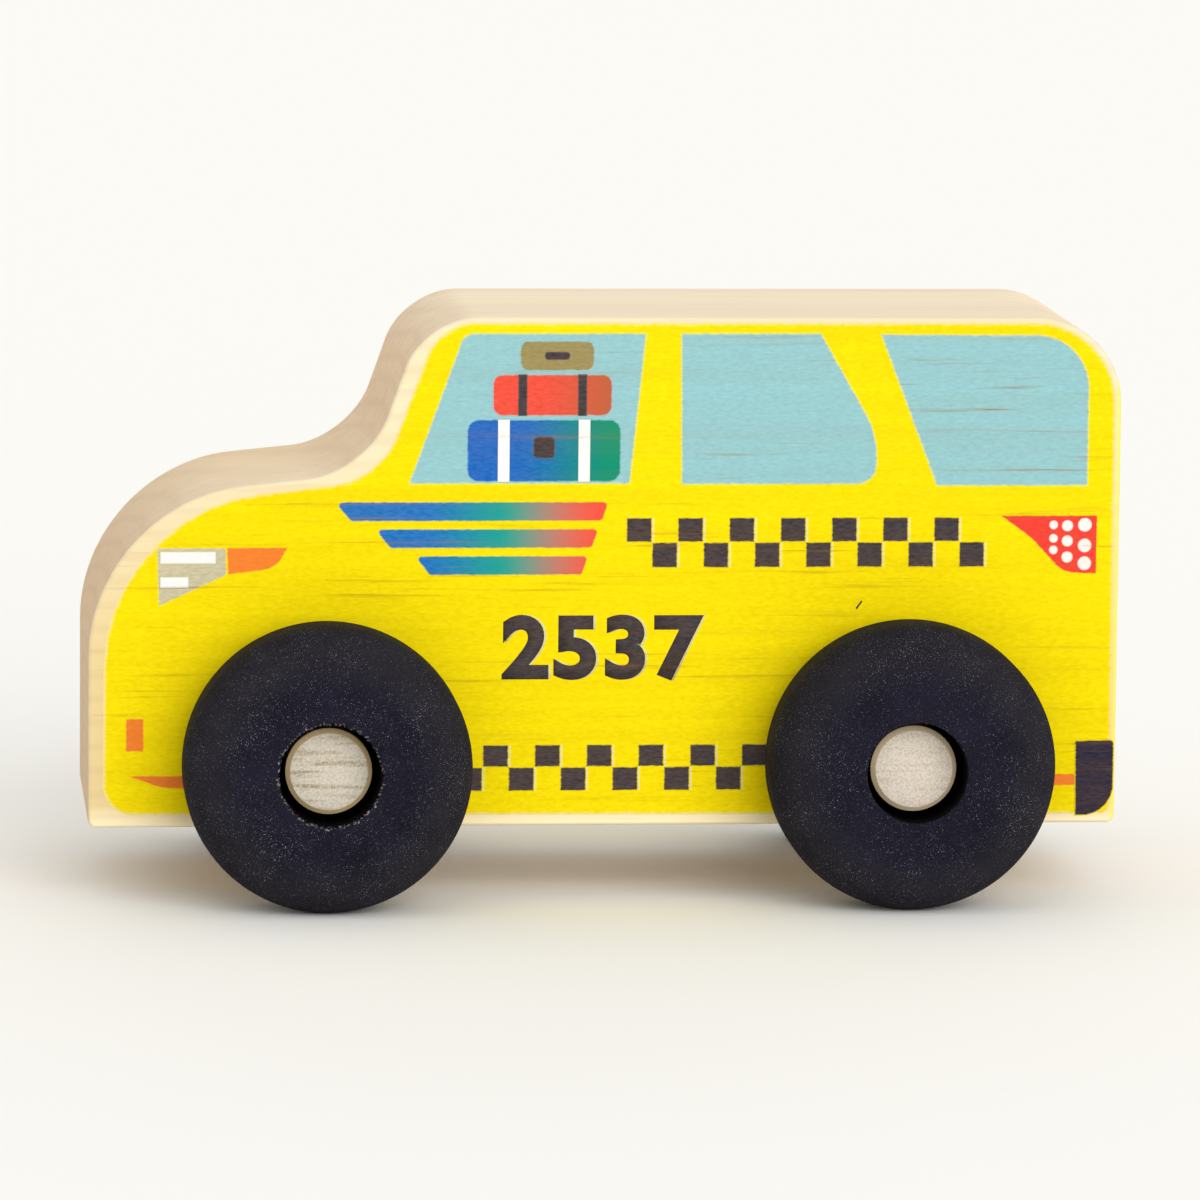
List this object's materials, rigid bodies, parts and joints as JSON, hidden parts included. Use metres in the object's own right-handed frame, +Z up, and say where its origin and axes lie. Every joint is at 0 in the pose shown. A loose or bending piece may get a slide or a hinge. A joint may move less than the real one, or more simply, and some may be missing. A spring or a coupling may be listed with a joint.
{
  "type": "toy taxi",
  "caption": "Wooden push-along toy taxi: solid block body with a van outline and printed sides, on dyed wooden wheels that spin on headed pegs.",
  "frame": {"origin": "on the ground, under the middle of the body", "axes": "+X forward towards the nose, +Y to the car's left, +Z up"},
  "size_m": [0.1142, 0.0596, 0.0648],
  "materials": {
    "maple": "sanded hardwood, sides printed",
    "dyed_wood": "turned hardwood, dyed black, matt",
    "peg_wood": "turned hardwood, bare"
  },
  "bodies": {
    "chassis": {"body": "maple", "axle_peg_front_left": "peg_wood", "axle_peg_front_right": "peg_wood", "axle_peg_rear_left": "peg_wood", "axle_peg_rear_right": "peg_wood"},
    "front_left_wheel": {"wheel_front_left": "dyed_wood"},
    "front_right_wheel": {"wheel_front_right": "dyed_wood"},
    "rear_left_wheel": {"wheel_rear_left": "dyed_wood"},
    "rear_right_wheel": {"wheel_rear_right": "dyed_wood"}
  },
  "joints": [
    {"name": "front_left_roll", "type": "hinge", "parent": "chassis", "child": "front_left_wheel", "pos_m": [0.03115, 0.0234, 0.01588], "axis": [0, 1, 0], "continuous": true},
    {"name": "front_right_roll", "type": "hinge", "parent": "chassis", "child": "front_right_wheel", "pos_m": [0.03115, -0.0234, 0.01588], "axis": [0, 1, 0], "continuous": true},
    {"name": "rear_left_roll", "type": "hinge", "parent": "chassis", "child": "rear_left_wheel", "pos_m": [-0.03325, 0.0234, 0.01588], "axis": [0, 1, 0], "continuous": true},
    {"name": "rear_right_roll", "type": "hinge", "parent": "chassis", "child": "rear_right_wheel", "pos_m": [-0.03325, -0.0234, 0.01588], "axis": [0, 1, 0], "continuous": true}
  ]
}
